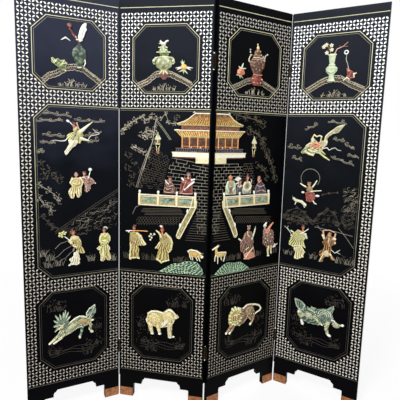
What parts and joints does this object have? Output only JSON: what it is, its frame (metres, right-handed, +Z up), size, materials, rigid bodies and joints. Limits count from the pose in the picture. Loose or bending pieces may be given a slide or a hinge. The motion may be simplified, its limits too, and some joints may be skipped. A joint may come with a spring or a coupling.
{
  "type": "folding screen",
  "caption": "Folding screen of hinged black lacquer panels with applied stone carvings, bracket aprons and shod feet.",
  "frame": {"origin": "on the floor, under the middle of the box round the standing screen", "axes": "+Z up, +X along the screen to the right as its carved front is looked at, -Y towards the viewer"},
  "size_m": [1.5222, 0.2474, 1.829],
  "materials": {
    "black_lacquer": "polished black lacquer with gilt lines",
    "shoe_copper": "aged copper-toned brass sheet",
    "hinge_brass": "satin brass",
    "soapstone": "polished cream soapstone",
    "pale_jade": "polished pale jade",
    "green_stone": "polished green stone",
    "red_stone": "polished red-brown stone",
    "amber_stone": "polished amber stone"
  },
  "bodies": {
    "panel_1": {"panel_1_board": "black_lacquer", "panel_1_shoe_left": "shoe_copper", "panel_1_shoe_right": "shoe_copper", "hinge_1_1_pin_leaf": "hinge_brass", "hinge_1_2_pin_leaf": "hinge_brass", "vase_with_plume": "pale_jade", "citron": "pale_jade", "flying_attendant": "soapstone", "courtier_with_fan": "soapstone", "courtier_in_brown": "red_stone", "gardener_with_flower_staff": "soapstone", "standing_lady": "soapstone", "green_lion_left": "green_stone"},
    "panel_2": {"panel_2_board": "black_lacquer", "panel_2_shoe_left": "shoe_copper", "panel_2_shoe_right": "shoe_copper", "hinge_2_1_pin_leaf": "hinge_brass", "hinge_2_2_pin_leaf": "hinge_brass", "hinge_1_1_plain_leaf": "hinge_brass", "hinge_1_2_plain_leaf": "hinge_brass", "lidded_censer": "pale_jade", "pomegranate": "amber_stone", "pavilion_left_half": "amber_stone", "terrace_figure_brown": "red_stone", "terrace_figure_red": "red_stone", "balustrade_left": "pale_jade", "flute_player": "soapstone", "lady_with_sleeves": "soapstone", "goat": "soapstone", "rock_left": "green_stone", "shaggy_lion": "soapstone"},
    "panel_3": {"panel_3_board": "black_lacquer", "panel_3_shoe_left": "shoe_copper", "panel_3_shoe_right": "shoe_copper", "hinge_3_1_pin_leaf": "hinge_brass", "hinge_3_2_pin_leaf": "hinge_brass", "hinge_2_1_plain_leaf": "hinge_brass", "hinge_2_2_plain_leaf": "hinge_brass", "dragon_censer": "red_stone", "persimmon": "amber_stone", "pavilion_right_half": "amber_stone", "terrace_figure_first": "soapstone", "terrace_figure_second": "red_stone", "balustrade_right": "pale_jade", "elder_in_brown": "red_stone", "lady_in_amber": "amber_stone", "deer": "soapstone", "rock_right": "green_stone", "amber_lion": "amber_stone"},
    "panel_4": {"panel_4_board": "black_lacquer", "panel_4_shoe_left": "shoe_copper", "panel_4_shoe_right": "shoe_copper", "hinge_3_1_plain_leaf": "hinge_brass", "hinge_3_2_plain_leaf": "hinge_brass", "beaker_with_blossoms": "pale_jade", "ring_and_fish_chime": "red_stone", "phoenix": "soapstone", "flute_boy": "soapstone", "lady_with_tray": "soapstone", "green_lion_right": "green_stone"}
  },
  "joints": [
    {"name": "fold_1_2", "type": "hinge", "parent": "panel_2", "child": "panel_1", "pos_m": [-0.37232, 0.02157, 0.915], "axis": [0, 0, 1], "range_deg": [-35.2, 114]},
    {"name": "fold_2_3", "type": "hinge", "parent": "panel_2", "child": "panel_3", "pos_m": [0.03141, -0.05406, 0.915], "axis": [0, 0, 1], "range_deg": [-40.2, 128]},
    {"name": "fold_3_4", "type": "hinge", "parent": "panel_3", "child": "panel_4", "pos_m": [0.4106, 0.10386, 0.915], "axis": [0, 0, 1], "range_deg": [-89, 60.2]}
  ]
}
